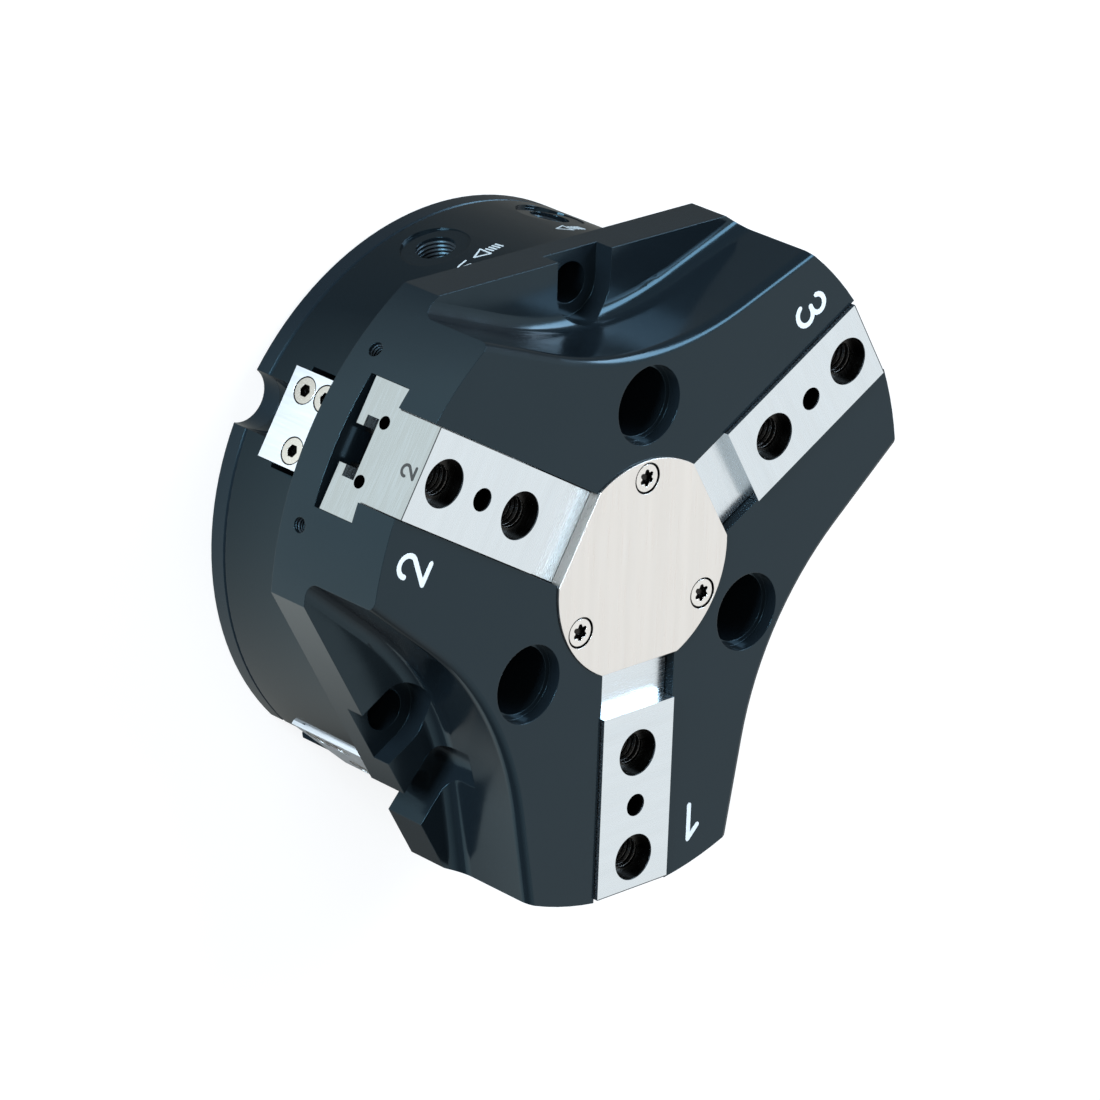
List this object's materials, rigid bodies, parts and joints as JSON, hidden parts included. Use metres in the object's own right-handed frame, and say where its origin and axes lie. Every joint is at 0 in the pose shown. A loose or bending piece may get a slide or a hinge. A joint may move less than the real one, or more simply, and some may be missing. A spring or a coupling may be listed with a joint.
{
  "type": "three jaw centric gripper",
  "caption": "Pneumatic centric gripper: round base, three arms with T-slot jaws that a wedge hook moves together, air ports, sensor brackets and through mounting holes.",
  "frame": {"origin": "centre of the flat mounting face at the back", "axes": "+Z along the gripper's axis towards the jaws; jaw 1 points to -Y, jaw 2 to 150 degrees and jaw 3 to 30 degrees from +X"},
  "size_m": [0.1488, 0.1372, 0.0659],
  "materials": {
    "anodised_body": "hard anodised, dark slate",
    "ground_steel": "ground and hardened",
    "satin_steel": "satin",
    "bright_plate": "bright, fine brushed",
    "bright_steel": "turned",
    "plain_steel": "machined",
    "dark_steel": "black oxide",
    "bronze": "machined",
    "plain_aluminium": "machined",
    "elastomer": "moulded"
  },
  "bodies": {
    "housing_body": {"housing": "anodised_body", "rear_plate": "anodised_body", "rear_plate_screws": "dark_steel", "dowel_pins": "plain_steel", "direct_port_plugs": "dark_steel", "chamber_seal": "elastomer", "rod_bush": "bronze", "rod_seal": "elastomer", "cover_plate": "satin_steel", "cover_screws": "bright_steel", "sensor_bracket_1": "bright_plate", "sensor_bracket_2": "bright_plate", "bracket_screws": "bright_steel"},
    "piston_body": {"piston": "plain_aluminium", "piston_seal": "elastomer", "piston_guide_ring": "bronze", "wedge_hook": "plain_steel", "hook_screw": "dark_steel"},
    "jaw_1": {"base_jaw_1": "ground_steel", "switching_cam_1": "dark_steel", "cam_screw_1": "dark_steel"},
    "jaw_2": {"base_jaw_2": "ground_steel", "switching_cam_2": "dark_steel", "cam_screw_2": "dark_steel"},
    "jaw_3": {"base_jaw_3": "ground_steel", "switching_cam_3": "dark_steel", "cam_screw_3": "dark_steel"}
  },
  "joints": [
    {"name": "piston_slide", "type": "slide", "parent": "housing_body", "child": "piston_body", "axis": [0, 0, 1], "range_m": [-0.012, 0]},
    {"name": "jaw_1_slide", "type": "slide", "parent": "housing_body", "child": "jaw_1", "axis": [0, -1, 0], "range_m": [-0.01, 0]},
    {"name": "jaw_2_slide", "type": "slide", "parent": "housing_body", "child": "jaw_2", "axis": [-0.866, 0.5, 0], "range_m": [-0.01, 0]},
    {"name": "jaw_3_slide", "type": "slide", "parent": "housing_body", "child": "jaw_3", "axis": [0.866, 0.5, 0], "range_m": [-0.01, 0]}
  ],
  "couplings": [
    {"joint": "jaw_1_slide", "follows": "piston_slide", "ratio": 0.83333},
    {"joint": "jaw_2_slide", "follows": "piston_slide", "ratio": 0.83333},
    {"joint": "jaw_3_slide", "follows": "piston_slide", "ratio": 0.83333}
  ]
}
